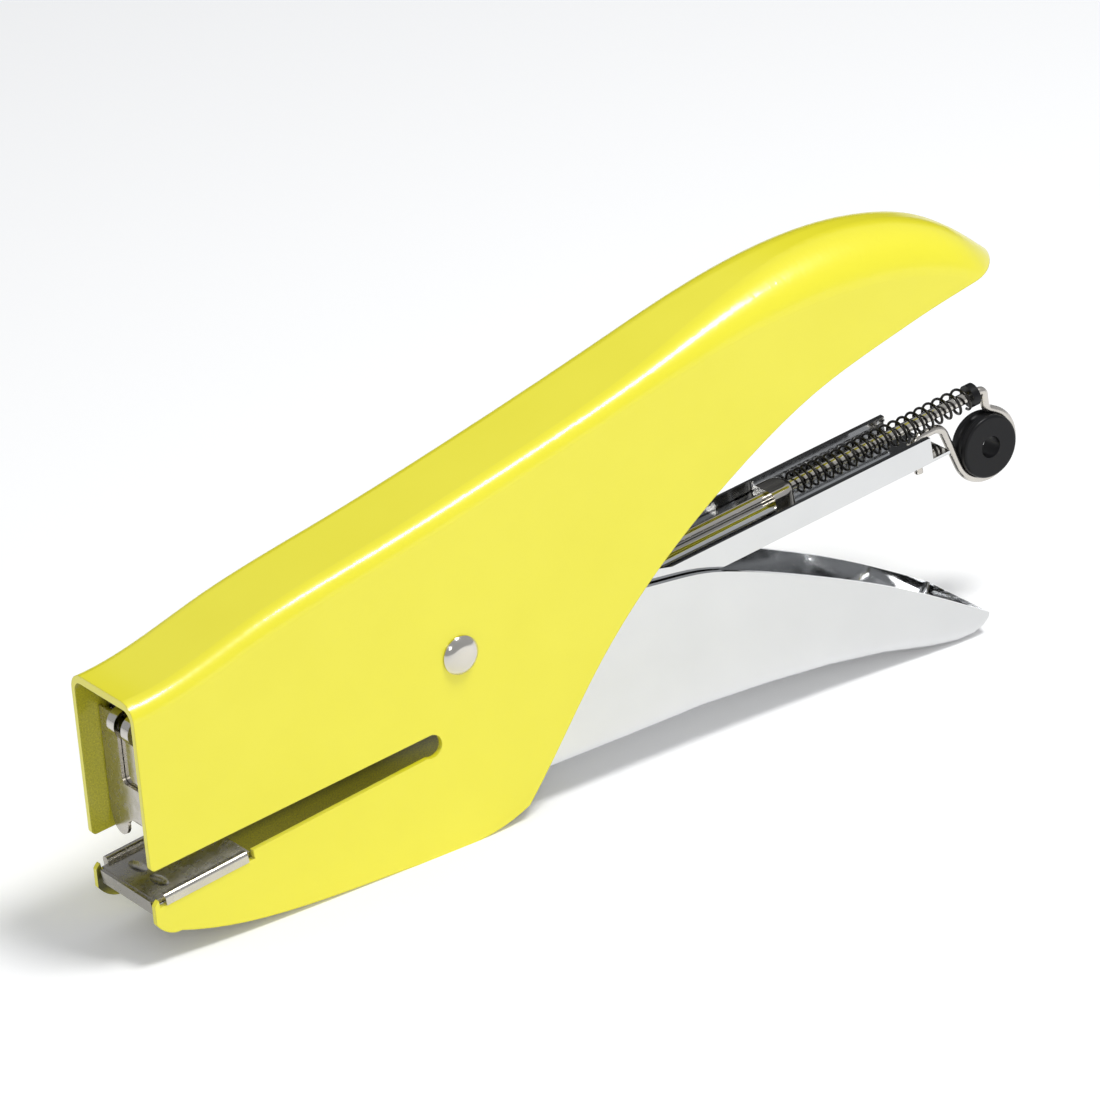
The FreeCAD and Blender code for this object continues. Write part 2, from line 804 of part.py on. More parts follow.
# ---------------------------------------------------------------- staple_guide and its rivets
def make_staple_guide():
    """Block at the magazine's mouth that the staples' legs pass either side of."""
    legs_inside = crown_half - size("staple_wire") - 0.1
    top = crown_top - size("staple_wire") - 0.2
    corners = [
        at(magazine_front, floor_height(magazine_front, floor_top)),
        along(magazine_front + 5.5, floor_top),
        along(magazine_front + 5.5, top),
        at(magazine_front, floor_height(magazine_front, top)),
    ]
    guide = slab("staple_guide_block", polygon(corners), "1", "1")
    guide.setExpression("LengthFwd", "sizes.crown_width / 2 - sizes.staple_wire - 0.1")
    guide.setExpression("LengthRev", "sizes.crown_width / 2 - sizes.staple_wire - 0.1")
    holes = []
    rivets = []
    shank = 0.8
    for name, y in (("far", 0.55 * legs_inside), ("near", -0.55 * legs_inside)):
        foot = along(magazine_front + 3.0, floor_under - 0.5) + Vector(0, y, 0)
        up = along(0, 1)
        for kind, store in (("hole", holes), ("rivet", rivets)):
            pin = doc.addObject("Part::Cylinder", "guide_%s_%s" % (kind, name))
            pin.Radius = shank
            pin.Height = 3.0
            pin.Placement = FreeCAD.Placement(foot, FreeCAD.Rotation(Vector(0, 0, 1), up))
            store.append(pin)
        head = doc.addObject("Part::Cylinder", "guide_head_" + name)
        head.Radius = 1.5
        head.Height = 0.5
        head.Placement = FreeCAD.Placement(foot, FreeCAD.Rotation(Vector(0, 0, 1), up))
        rivets.append(head)
    node(cut("staple_guide_cut", guide, holes), "staple_guide")
    node(fuse("guide_rivets_pair", rivets), "guide_rivets")
    return holes


# ---------------------------------------------------------------- front_plate and its rivets
def make_front_plate():
    """Plate in front of the driver, with a window for the driver's curls and a forked foot."""
    half = shell_inside - 0.2
    top = size("plate_top")
    foot = -size("fork_drop")
    window = size("window_width") / 2
    sill = -size("window_drop")
    notch = size("fork_notch")
    shoulder = half - 0.6
    middle = (shoulder + notch) / 2
    leg = (shoulder - notch) / 2
    neck = foot + 3.6

    def point(y, z):
        return Vector(0, y, z)

    edges = [
        line(point(half, top), point(window, top)),
        line(point(window, top), point(window, sill + 1.2)),
        arc(point(window, sill + 1.2), point(window - 0.35, sill + 0.35), point(window - 1.2, sill)),
        line(point(window - 1.2, sill), point(1.2 - window, sill)),
        arc(point(1.2 - window, sill), point(0.35 - window, sill + 0.35), point(-window, sill + 1.2)),
        line(point(-window, sill + 1.2), point(-window, top)),
        line(point(-window, top), point(-half, top)),
        line(point(-half, top), point(-half, neck)),
        line(point(-half, neck), point(-shoulder, foot + leg)),
        arc(point(-shoulder, foot + leg), point(-middle, foot), point(-notch, foot + leg)),
        line(point(-notch, foot + leg), point(-notch, foot + leg + 0.4)),
        arc(point(-notch, foot + leg + 0.4), point(0, foot + 4.2), point(notch, foot + leg + 0.4)),
        line(point(notch, foot + leg + 0.4), point(notch, foot + leg)),
        arc(point(notch, foot + leg), point(middle, foot), point(shoulder, foot + leg)),
        line(point(shoulder, foot + leg), point(half, neck)),
        line(point(half, neck), point(half, top)),
    ]
    web = slab("plate_web", edges, "1", "1", Vector(1, 0, 0))
    web.setExpression("LengthFwd", "-sizes.front_reach + sizes.plate_setback + sizes.plate_sheet")
    web.setExpression("LengthRev", "sizes.front_reach - sizes.plate_setback")
    low = floor_height(magazine_front, floor_under) + 0.6
    high = low + 4.3
    tab = 0.5
    back = magazine_front + 6.4
    rivet_at = Vector(magazine_front + 3.2, 0, low + 2.2)
    flanges = []
    holes = []
    rivets = []
    for name, side in (("far", 1), ("near", -1)):
        inner = side * magazine_outside
        outer = side * (magazine_outside + tab)
        front_corner = (plate_front, min(inner, outer), low)
        back_corner = (back, max(inner, outer), high)
        flanges.append(brick("plate_flange_" + name, front_corner, back_corner))
        out = FreeCAD.Rotation(Vector(0, 0, 1), Vector(0, side, 0))
        for kind, store in (("hole", holes), ("shank", rivets)):
            pin = doc.addObject("Part::Cylinder", "plate_%s_%s" % (kind, name))
            pin.Radius = 0.8
            pin.Height = tab + size("magazine_sheet")
            pin.Placement = FreeCAD.Placement(rivet_at + Vector(0, side * magazine_inside, 0), out)
            store.append(pin)
        head = doc.addObject("Part::Cylinder", "plate_head_" + name)
        head.Radius = 1.3
        head.Height = 0.35
        head.Placement = FreeCAD.Placement(rivet_at + Vector(0, side * (magazine_outside + tab), 0), out)
        rivets.append(head)
    node(cut("plate_cut", fuse("plate_bent", [web] + flanges), holes), "front_plate")
    node(fuse("plate_rivets_pair", rivets), "plate_rivets")
    return holes


def drill_channel(holes):
    """The magazine's own rivet holes, cut by the same pins as the pieces they hold."""
    channel = next(n for n in NODES if n.Label == "magazine_channel")
    NODES.remove(channel)
    channel.Label = "magazine_undrilled"
    channel.Placement = FreeCAD.Placement()
    node(cut("magazine_drilled", channel, holes), "magazine_channel")


# ---------------------------------------------------------------- driver_blade
def stadium(front_x, back_x, z, radius):
    """Side outline of a round-ended bar between two centres."""
    return [
        line(at(front_x, z + radius), at(back_x, z + radius)),
        arc(at(back_x, z + radius), at(back_x + radius, z), at(back_x, z - radius)),
        line(at(back_x, z - radius), at(front_x, z - radius)),
        arc(at(front_x, z - radius), at(front_x - radius, z), at(front_x, z + radius)),
    ]


def make_driver():
    """Blade with two curls that stand through the plate's window and go round the nose pin."""
    half = crown_half - 0.25
    low = floor_height(driver_front, crown_top) - 0.2
    pin_z = size("nose_pin_height")
    blade = brick("driver_flat", (driver_front, -half, low), (driver_back, half, pin_z - curl_inside - 0.3))
    front_centre = driver_front + 0.2
    eyes = slab("driver_eye", stadium(front_centre, nose_pin_x, pin_z, curl_inside), "20", "20")
    outer = "sizes.curl_spacing / 2 + sizes.curl_width / 2"
    inner = "sizes.curl_spacing / 2 - sizes.curl_width / 2"
    curls = pair("driver_curl", stadium(front_centre, nose_pin_x, pin_z, curl_outside), outer, inner)
    node(cut("driver_cut", fuse("driver_solid", [blade] + curls), [eyes]), "driver_blade")


# ---------------------------------------------------------------- loader: rod, tip, cap, spring, pusher
def local_round(name, radius, start_u, end_u, level):
    """A round bar along the magazine, in the magazine's own frame."""
    body = doc.addObject("Part::Cylinder", name)
    body.Radius = radius
    body.Height = end_u - start_u
    body.Placement = FreeCAD.Placement(Vector(start_u, 0, level), FreeCAD.Rotation(Vector(0, 1, 0), 90))
    return body


def make_loader():
    front = magazine_front + 8.0
    rod = size("rod_radius")
    end = size("rod_reach")
    cap_start = end - size("cap_length")
    tip_length = 3.0
    shaft = local_round("rod_shaft", rod, front + tip_length, end, rod_level)
    node(shaft, "guide_rod", IN_MAGAZINE)

    tip = local_round("rod_tip_body", rod + 0.3, front, front + tip_length, rod_level)
    rounded = doc.addObject("Part::Chamfer", "rod_tip_nose")
    rounded.Base = tip
    doc.recompute()
    rounded.Edges = [
        (number, 0.7, 0.7)
        for number, edge in enumerate(tip.Shape.Edges, start=1)
        if edge.BoundBox.XMax < front + 0.1
    ]
    node(rounded, "rod_tip", IN_MAGAZINE)

    cap = local_round("cap_disc", size("cap_radius"), cap_start, end, rod_level)
    bore = local_round("cap_bore", rod, cap_start - 1, end + 1, rod_level)
    node(cut("cap_cut", cap, [bore]), "rod_cap", IN_MAGAZINE)

    rear = size("pusher_rear")
    coil_out = local_round("coil_outside", size("spring_radius"), rear + 0.1, cap_start - 0.05, rod_level)
    inner_radius = size("spring_radius") - size("spring_wire")
    coil_in = local_round("coil_inside", inner_radius, rear - 1, cap_start + 1, rod_level)
    node(cut("coil_tube", coil_out, [coil_in]), "pusher_spring", IN_MAGAZINE)


def make_pusher():
    """Low saddle that slides in the channel: a broad head for the staples, and the rod in its slot."""
    rear = size("pusher_rear")
    wall = size("pusher_sheet")
    half = size("pusher_width") / 2
    foot = floor_top + 0.15
    top = rod_level - 0.35
    way = size("rod_radius") + 0.1
    bend = 1.5
    corner = bend * (1 - math.sqrt(0.5))
    start = rear - size("nose_length")

    def arch(inset, low):
        side = half - inset
        roof = top - inset
        turn = bend - inset
        near = corner * turn / bend
        return [
            line(Vector(0, -side, low), Vector(0, -side, roof - turn)),
            arc(
                Vector(0, -side, roof - turn),
                Vector(0, -side + near, roof - near),
                Vector(0, -side + turn, roof),
            ),
            line(Vector(0, -side + turn, roof), Vector(0, side - turn, roof)),
            arc(
                Vector(0, side - turn, roof),
                Vector(0, side - near, roof - near),
                Vector(0, side, roof - turn),
            ),
            line(Vector(0, side, roof - turn), Vector(0, side, low)),
            line(Vector(0, side, low), Vector(0, -side, low)),
        ]

    outer = slab("saddle_outside", arch(0, foot), "1", "1", Vector(1, 0, 0))
    outer.setExpression("LengthFwd", "sizes.pusher_rear - sizes.nose_length")
    outer.setExpression("LengthRev", "sizes.pusher_length - sizes.pusher_rear")
    inner = slab("saddle_inside", arch(wall, foot - 1), "1", "1", Vector(1, 0, 0))
    inner.setExpression("LengthFwd", "sizes.pusher_rear - sizes.nose_length - 0.6")
    inner.setExpression("LengthRev", "sizes.pusher_length - sizes.pusher_rear")
    slot = brick("saddle_slot", (pusher_front - 1, -way, foot - 1), (start - 0.6, way, top + 1))
    head_half = magazine_inside - 0.6
    head_top = crown_top - 0.1
    head = brick("pusher_head", (pusher_front, -head_half, foot), (pusher_front + 1.6, head_half, head_top))
    tip_way = local_round(
        "pusher_tip_way", size("rod_radius") + 0.6, pusher_front - 1, pusher_front + 6, rod_level
    )
    rod_way = local_round("pusher_rod_way", way, pusher_front - 1, rear + 1, rod_level)
    bent = cut("saddle_bent", outer, [inner, slot])
    node(cut("pusher_cut", fuse("pusher_joined", [bent, head]), [tip_way, rod_way]), "pusher", IN_MAGAZINE)

    # the block at the rear end runs on the rod; its end is round in plan and its upper edges are rounded
    crown = rod_level + size("rod_radius") + 0.55
    blank = brick("nose_blank", (start, -half, foot + 0.1), (rear, half, crown))
    rounded = doc.addObject("Part::Fillet", "nose_rounded")
    rounded.Base = blank
    doc.recompute()
    rounded.Edges = [
        (number, half - 0.3, half - 0.3)
        for number, edge in enumerate(blank.Shape.Edges, start=1)
        if edge.BoundBox.ZLength > 1 and edge.BoundBox.XMin > start + 1
    ]
    doc.recompute()
    softened = doc.addObject("Part::Fillet", "nose_softened")
    softened.Base = rounded
    top_edges = []
    for number, edge in enumerate(rounded.Shape.Edges, start=1):
        box = edge.BoundBox
        across_front = box.XMax < start + 0.1
        if box.ZMin > crown - 0.1 and not across_front:
            top_edges.append((number, 1.2, 1.2))
    softened.Edges = top_edges
    bore = local_round(
        "pusher_block_bore", size("rod_radius") + size("running_gap"), start - 5, rear + 5, rod_level
    )
    node(cut("pusher_block_cut", softened, [bore]), "pusher_block", IN_MAGAZINE)


# ---------------------------------------------------------------- latch_bow and pull_wheel
def rounded_path(points, radii):
    """Straight runs through the points, joined by tangent arcs of the given radii."""
    edges = []
    start = points[0]
    for before, corner, after, radius in zip(points, points[1:], points[2:], radii):
        back = (before - corner).normalize()
        on = (after - corner).normalize()
        half = back.getAngle(on) / 2
        reach = radius / math.tan(half)
        middle = (back + on).normalize() * (radius / math.sin(half) - radius)
        first = corner + back * reach
        last = corner + on * reach
        if start.distanceToPoint(first) > 1e-4:
            edges.append(line(start, first))
        edges.append(arc(first, corner + middle, last))
        start = last
    edges.append(line(start, points[-1]))
    return Part.Wire(edges)


def make_bow():
    """Wire from the rod's end round the wheel, then forward over the tongue and down through its slot."""
    centre = at(wheel_x, wheel_z)
    radius = loop_radius
    wire = size("bow_wire_radius")

    def on_loop(degrees, distance):
        turn = math.radians(degrees)
        return centre + at(distance * math.cos(turn), distance * math.sin(turn))

    def loop_corner(first, last):
        return on_loop((first + last) / 2, radius / math.cos(math.radians((first - last) / 2)))

    top, right, low, leave = 62, 0, -90, -158
    touch = on_loop(top, radius)
    slope = Vector(math.sin(math.radians(top)), 0, -math.cos(math.radians(top)))
    drop = touch - slope * 2.5
    over = floor_top + wire + 0.12
    exit_point = on_loop(leave, radius)
    exit_way = Vector(math.sin(math.radians(leave)), 0, -math.cos(math.radians(leave)))
    # where the way out of the loop meets the run over the tongue
    rise = (floor_height(exit_point.x, over) - exit_point.z) / (exit_way.z - exit_way.x * math.tan(tilt))
    crest = exit_point + exit_way * rise
    points = [
        rod_end,
        rod_end + along(2.1, 0),
        drop,
        loop_corner(top, right),
        loop_corner(right, low),
        loop_corner(low, leave),
        crest,
        along(size("hook_reach"), over),
        along(size("hook_reach"), floor_under - 5.2),
    ]
    radii = [1.0, 1.5, radius, radius, radius, 2.4, 1.2]
    path = rounded_path(points, radii)
    circle = Part.Circle(rod_end, along(1, 0), wire).toShape()
    bow = doc.addObject("Part::Feature", "bow_wire")
    bow.Shape = path.makePipeShell([Part.Wire(circle)], True, True)
    node(bow, "latch_bow")


def make_wheel():
    wide = size("wheel_width")
    radius = size("wheel_radius")
    across = FreeCAD.Rotation(Vector(1, 0, 0), -90)
    disc = doc.addObject("Part::Cylinder", "wheel_disc")
    disc.setExpression("Radius", "sizes.wheel_radius")
    disc.setExpression("Height", "sizes.wheel_width")
    disc.Placement = FreeCAD.Placement(Vector(wheel_x, -wide / 2, wheel_z), across)
    rounded = doc.addObject("Part::Fillet", "wheel_rounded")
    rounded.Base = disc
    doc.recompute()
    rounded.Edges = [
        (number, 0.5, 0.5)
        for number, edge in enumerate(disc.Shape.Edges, start=1)
        if edge.BoundBox.YLength < 0.1
    ]
    hole = cross_hole("wheel_hole", "sizes.wheel_hole_radius", wheel_x, wheel_z)
    groove = doc.addObject("Part::Torus", "wheel_groove")
    groove.Radius1 = loop_radius
    groove.Radius2 = size("bow_wire_radius") + 0.2
    groove.Placement = FreeCAD.Placement(Vector(wheel_x, 0, wheel_z), across)
    node(cut("wheel_cut", rounded, [hole, groove]), "pull_wheel")


make_body_shell()
make_anvil()
make_pivot()
make_lever()
make_return_spring()
make_magazine()
guide_holes = make_staple_guide()
plate_holes = make_front_plate()
drill_channel(guide_holes + plate_holes)
make_driver()
make_loader()
make_pusher()
make_bow()
make_wheel()
doc.recompute()

# ---------------------------------------------------------------- checks and files
faults = []
for item in doc.Objects:
    if "Invalid" in item.State or "Error" in item.State:
        faults.append("%s is in state %s" % (item.Name, item.State))
for item in NODES:
    shape = item.Shape
    if shape.isNull() or not shape.isValid() or not shape.Solids:
        faults.append("%s has no sound solid" % item.Label)
if faults:
    raise RuntimeError("; ".join(faults))

os.makedirs("parts", exist_ok=True)
for item in NODES:
    item.Shape.exportStep("parts/%s.step" % item.Label)
    box = item.Shape.BoundBox
    print("%-18s solids %d  volume %9.2f  x %.2f..%.2f  y %.2f..%.2f  z %.2f..%.2f" % (
        item.Label, len(item.Shape.Solids), item.Shape.Volume,
        box.XMin, box.XMax, box.YMin, box.YMax, box.ZMin, box.ZMax))
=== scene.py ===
# %% [markdown]
# # A plier stapler
# The design arrives finished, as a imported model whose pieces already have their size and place.
# This lesson dresses it: it builds the two coil springs turn by turn, gives every piece a finish
# made from nodes, and sets up the light and the camera.

# %% Load the frame
import json
import math

import bpy
from mathutils import Matrix, Vector


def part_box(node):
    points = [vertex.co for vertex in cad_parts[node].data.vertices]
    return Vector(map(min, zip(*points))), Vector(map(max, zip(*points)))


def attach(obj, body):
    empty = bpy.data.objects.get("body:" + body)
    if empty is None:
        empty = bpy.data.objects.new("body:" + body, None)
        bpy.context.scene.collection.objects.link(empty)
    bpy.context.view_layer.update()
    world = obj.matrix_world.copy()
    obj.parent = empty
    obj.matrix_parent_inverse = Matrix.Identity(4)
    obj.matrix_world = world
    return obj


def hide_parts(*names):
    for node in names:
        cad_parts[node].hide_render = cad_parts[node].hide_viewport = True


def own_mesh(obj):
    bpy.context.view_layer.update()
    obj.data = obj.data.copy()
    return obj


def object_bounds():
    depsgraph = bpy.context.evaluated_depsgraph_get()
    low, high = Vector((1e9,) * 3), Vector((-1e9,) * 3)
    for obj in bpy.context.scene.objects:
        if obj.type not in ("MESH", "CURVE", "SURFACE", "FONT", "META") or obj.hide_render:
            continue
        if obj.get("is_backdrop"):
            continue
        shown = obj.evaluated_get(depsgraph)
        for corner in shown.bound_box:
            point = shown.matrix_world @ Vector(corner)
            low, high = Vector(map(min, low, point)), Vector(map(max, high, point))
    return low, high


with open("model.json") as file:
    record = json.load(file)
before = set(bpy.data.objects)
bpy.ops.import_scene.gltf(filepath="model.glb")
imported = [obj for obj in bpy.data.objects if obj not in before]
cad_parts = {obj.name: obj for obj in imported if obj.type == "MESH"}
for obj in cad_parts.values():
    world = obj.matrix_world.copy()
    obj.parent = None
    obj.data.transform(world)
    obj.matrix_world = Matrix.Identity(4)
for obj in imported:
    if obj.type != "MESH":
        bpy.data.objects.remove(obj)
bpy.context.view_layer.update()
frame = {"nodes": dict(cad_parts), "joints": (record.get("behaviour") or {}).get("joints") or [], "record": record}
nodes = frame["nodes"]

# %% [markdown]
# ## Where things are
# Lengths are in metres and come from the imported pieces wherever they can. `PIVOT` is the middle of
# the big rivet, and `LEAN` is the slope of the magazine, read from the axis that the loader slides on.

# %% Places taken from the frame
joints = {joint["name"]: joint for joint in frame["joints"]}
PIVOT = Vector(joints["lever_pivot"]["pos_m"])
ALONG = Vector(joints["loader_slide"]["axis"]).normalized()
LEAN = math.asin(ALONG.z)
MM = 0.001


def deselect():
    """Nothing stays selected, so that the next operator acts only on what it should."""
    if bpy.context.object and bpy.context.object.mode != "OBJECT":
        bpy.ops.object.mode_set(mode="OBJECT")
    bpy.ops.object.select_all(action="DESELECT")


def only(piece):
    """Selects one object and makes it the active one."""
    deselect()
    piece.select_set(True)
    bpy.context.view_layer.objects.active = piece
    return piece


def settle(piece):
    """Moves the object's place into its mesh, as a CAD node has it."""
    only(piece)
    bpy.ops.object.transform_apply(location=True, rotation=True, scale=True)
    return piece


def material_tree(name):
    """A new node material, with its shader and the object's own coordinates ready."""
    material = bpy.data.materials.new(name)
    material.use_nodes = True
    tree = material.node_tree
    shader = tree.nodes["Principled BSDF"]
    place = tree.nodes.new("ShaderNodeTexCoord")
    return material, tree, shader, place.outputs["Object"]


def noise(tree, place, scale, detail=3.0, stretch=(1, 1, 1), lean=0.0):
    """Noise on the object's coordinates; a stretch below 1 draws it out along that axis."""
    mapping = tree.nodes.new("ShaderNodeMapping")
    mapping.inputs["Scale"].default_value = stretch
    mapping.inputs["Rotation"].default_value = (0, lean, 0)
    tree.links.new(place, mapping.inputs["Vector"])
    texture = tree.nodes.new("ShaderNodeTexNoise")
    texture.inputs["Scale"].default_value = scale
    texture.inputs["Detail"].default_value = detail
    tree.links.new(mapping.outputs["Vector"], texture.inputs["Vector"])
    return texture.outputs["Fac"]


def spread(tree, value, low, high):
    """The value, carried to low..high."""
    span = tree.nodes.new("ShaderNodeMapRange")
    span.inputs["From Min"].default_value = 0.3
    span.inputs["From Max"].default_value = 0.7
    span.inputs["To Min"].default_value = low
    span.inputs["To Max"].default_value = high
    tree.links.new(value, span.inputs["Value"])
    return span.outputs["Result"]


def blend_colour(tree, value, first, second):
    """A colour between two, chosen by the value."""
    ramp = tree.nodes.new("ShaderNodeValToRGB")
    ramp.color_ramp.elements[0].position = 0.3
    ramp.color_ramp.elements[0].color = (*first, 1)
    ramp.color_ramp.elements[1].position = 0.7
    ramp.color_ramp.elements[1].color = (*second, 1)
    tree.links.new(value, ramp.inputs["Fac"])
    return ramp.outputs["Color"]


def mix_colours(tree, share, first, second, way="MIX"):
    """Two colours mixed by a share, which is a number or a socket; the sockets are picked by place
    because a Mix node gives its number, vector and colour sockets the same names."""
    mixer = tree.nodes.new("ShaderNodeMix")
    mixer.data_type = "RGBA"
    mixer.blend_type = way
    share_socket, first_socket, second_socket = mixer.inputs[0], mixer.inputs[6], mixer.inputs[7]
    if isinstance(share, float):
        share_socket.default_value = share
    else:
        tree.links.new(share, share_socket)
    tree.links.new(first, first_socket)
    tree.links.new(second, second_socket)
    return mixer.outputs[2]


def bump(tree, shader, height, strength, distance, edge=0.0):
    """Shallow relief on the shader's normal; an edge radius also softens the corners of a thin sheet."""
    relief = tree.nodes.new("ShaderNodeBump")
    if edge:
        softened = tree.nodes.new("ShaderNodeBevel")
        softened.samples = 6
        softened.inputs["Radius"].default_value = edge
        tree.links.new(softened.outputs["Normal"], relief.inputs["Normal"])
    relief.inputs["Strength"].default_value = strength
    relief.inputs["Distance"].default_value = distance
    tree.links.new(height, relief.inputs["Height"])
    tree.links.new(relief.outputs["Normal"], shader.inputs["Normal"])


# %% [markdown]
# ## Finishes
# Paint is a coloured coat with the faint pebbling that enamel has. Plated and bright metals share
# one recipe, in which the colour, the gloss and the direction of the drawing marks change.
# Inside the shell, `inward` finds the inner walls. There the colour is darkened with painted shade
# at each height above a line that rises with the throat.

# %% Materials
THROAT_SLOPE = 0.09
INNER_LOW = 9 * MM
INNER_HIGH = 24 * MM
SOFT_EDGE = 0.3 * MM


def inward(tree, place):
    """1 on faces that look across the stapler towards its middle plane, 0 on the outer ones."""
    facing = tree.nodes.new("ShaderNodeSeparateXYZ")
    tree.links.new(place.node.outputs["Normal"], facing.inputs["Vector"])
    position = tree.nodes.new("ShaderNodeSeparateXYZ")
    tree.links.new(place, position.inputs["Vector"])
    across = tree.nodes.new("ShaderNodeMath")
    across.operation = "MULTIPLY"
    tree.links.new(facing.outputs["Y"], across.inputs[0])
    tree.links.new(position.outputs["Y"], across.inputs[1])
    span = tree.nodes.new("ShaderNodeMapRange")
    span.inputs["From Min"].default_value = -1 * MM
    span.inputs["From Max"].default_value = -5 * MM
    tree.links.new(across.outputs["Value"], span.inputs["Value"])
    return span.outputs["Result"]


def painted_inner_shade(tree, place):
    """Painted shade on the inner walls by height: full colour low in the jaw, a dark painted shadow behind the
    throat, half shade in the head.
    """
    position = tree.nodes.new("ShaderNodeSeparateXYZ")
    tree.links.new(place, position.inputs["Vector"])
    height = tree.nodes.new("ShaderNodeMath")
    height.operation = "MULTIPLY_ADD"
    height.inputs[1].default_value = -THROAT_SLOPE
    tree.links.new(position.outputs["X"], height.inputs[0])
    tree.links.new(position.outputs["Z"], height.inputs[2])
    span = tree.nodes.new("ShaderNodeMapRange")
    span.inputs["From Min"].default_value = INNER_LOW
    span.inputs["From Max"].default_value = INNER_HIGH
    tree.links.new(height.outputs["Value"], span.inputs["Value"])
    # this ramp is painted shade: the two dark middle stops paint a shadow band behind the throat, and the top stop
    # darkens the head
    ramp = tree.nodes.new("ShaderNodeValToRGB")
    low_stop, high_stop = ramp.color_ramp.elements
    low_stop.position = 0.24
    low_stop.color = (0.75, 0.69, 0.030, 1)
    high_stop.position = 1.0
    high_stop.color = (0.62, 0.58, 0.030, 1)
    for shadow_place in (0.48, 0.64):
        stop = ramp.color_ramp.elements.new(shadow_place)
        stop.color = (0.085, 0.079, 0.008, 1)
    tree.links.new(span.outputs["Result"], ramp.inputs["Fac"])
    return ramp.outputs["Color"]


def make_paint():
    """Bright yellow-green enamel: a coloured coat, a clear top and the faintest pebbling.

    On the inner walls, where a face looks towards the middle plane, the colour is darkened by painted shade and
    speckled.
    """
    material, tree, shader, place = material_tree("yellow_enamel")
    shade = noise(tree, place, 60, 2)
    colour = blend_colour(tree, shade, (0.800, 0.735, 0.022), (0.820, 0.755, 0.028))
    speckle = blend_colour(tree, noise(tree, place, 3600, 3), (0.60, 0.60, 0.60), (1.0, 1.0, 1.0))
    # painted shade on the inner walls, multiplied by a fine speckle
    painted_shade_speckled = mix_colours(tree, 1.0, painted_inner_shade(tree, place), speckle, "MULTIPLY")
    whole = mix_colours(tree, inward(tree, place), colour, painted_shade_speckled)
    tree.links.new(whole, shader.inputs["Base Color"])
    pebble = noise(tree, place, 1500, 2)
    bump(tree, shader, pebble, 0.10, 0.02 * MM, SOFT_EDGE)
    shader.inputs["Roughness"].default_value = 0.36
    shader.inputs["Coat Weight"].default_value = 0.60
    shader.inputs["Coat Roughness"].default_value = 0.14
    return material


def make_metal(name, dark, light, gloss, stretch=(1, 1, 1), lean=0.0, grain=900):
    """Bare or plated metal: colour between two shades, gloss between two roughnesses, fine marks."""
    material, tree, shader, place = material_tree(name)
    shader.inputs["Metallic"].default_value = 1.0
    cloud = noise(tree, place, 70, 3)
    tree.links.new(blend_colour(tree, cloud, dark, light), shader.inputs["Base Color"])
    marks = noise(tree, place, grain, 4, stretch, lean)
    tree.links.new(spread(tree, marks, *gloss), shader.inputs["Roughness"])
    bump(tree, shader, marks, 0.04, 0.01 * MM)
    return material


def make_plastic():
    """Moulded black plastic with a fine grain."""
    material, tree, shader, place = material_tree("black_plastic")
    grain = noise(tree, place, 2400, 2)
    shader.inputs["Base Color"].default_value = (0.006, 0.006, 0.007, 1)
    shader.inputs["Specular IOR Level"].default_value = 0.22
    tree.links.new(spread(tree, grain, 0.28, 0.40), shader.inputs["Roughness"])
    bump(tree, shader, grain, 0.15, 0.02 * MM)
    return material


DRAWN = (0.04, 1, 1)
PAINT = make_paint()
CHROME = make_metal("chrome_plate", (0.655, 0.66, 0.665), (0.685, 0.69, 0.695), (0.05, 0.11))
NICKEL = make_metal("nickel_plate", (0.46, 0.44, 0.40), (0.60, 0.57, 0.52), (0.16, 0.32), grain=600)
STEEL = make_metal("bright_steel", (0.52, 0.50, 0.46), (0.66, 0.63, 0.58), (0.10, 0.20), DRAWN, LEAN, 1200)
WIRE = make_metal("nickel_wire", (0.52, 0.49, 0.45), (0.66, 0.63, 0.59), (0.18, 0.30))
BLACKENED = make_metal("blackened_wire", (0.030, 0.029, 0.027), (0.055, 0.052, 0.048), (0.22, 0.34))
PLASTIC = make_plastic()

FINISH = {
    "shell_paint": PAINT,
    "chrome_plate": CHROME,
    "nickel_plate": NICKEL,
    "bright_steel": STEEL,
    "spring_steel": WIRE,
    "black_spring": BLACKENED,
    "black_plastic": PLASTIC,
}


def dress(piece, slot):
    """Gives a piece the finish of the record's slot."""
    piece.data.materials.clear()
    piece.data.materials.append(FINISH[slot])


SMOOTH_BELOW = math.radians(32)
for part in frame["record"]["subparts"]:
    dress(nodes[part["node"]], part["material_slot"])
    only(nodes[part["node"]])
    bpy.ops.object.shade_smooth_by_angle(angle=SMOOTH_BELOW)

# %% [markdown]
# ## Coil springs
# A coil is one small ring of wire carried round an axis while it climbs, which is what the Screw
# modifier does. Each spring is then turned to its own axis and replaces the plain tube of the design.


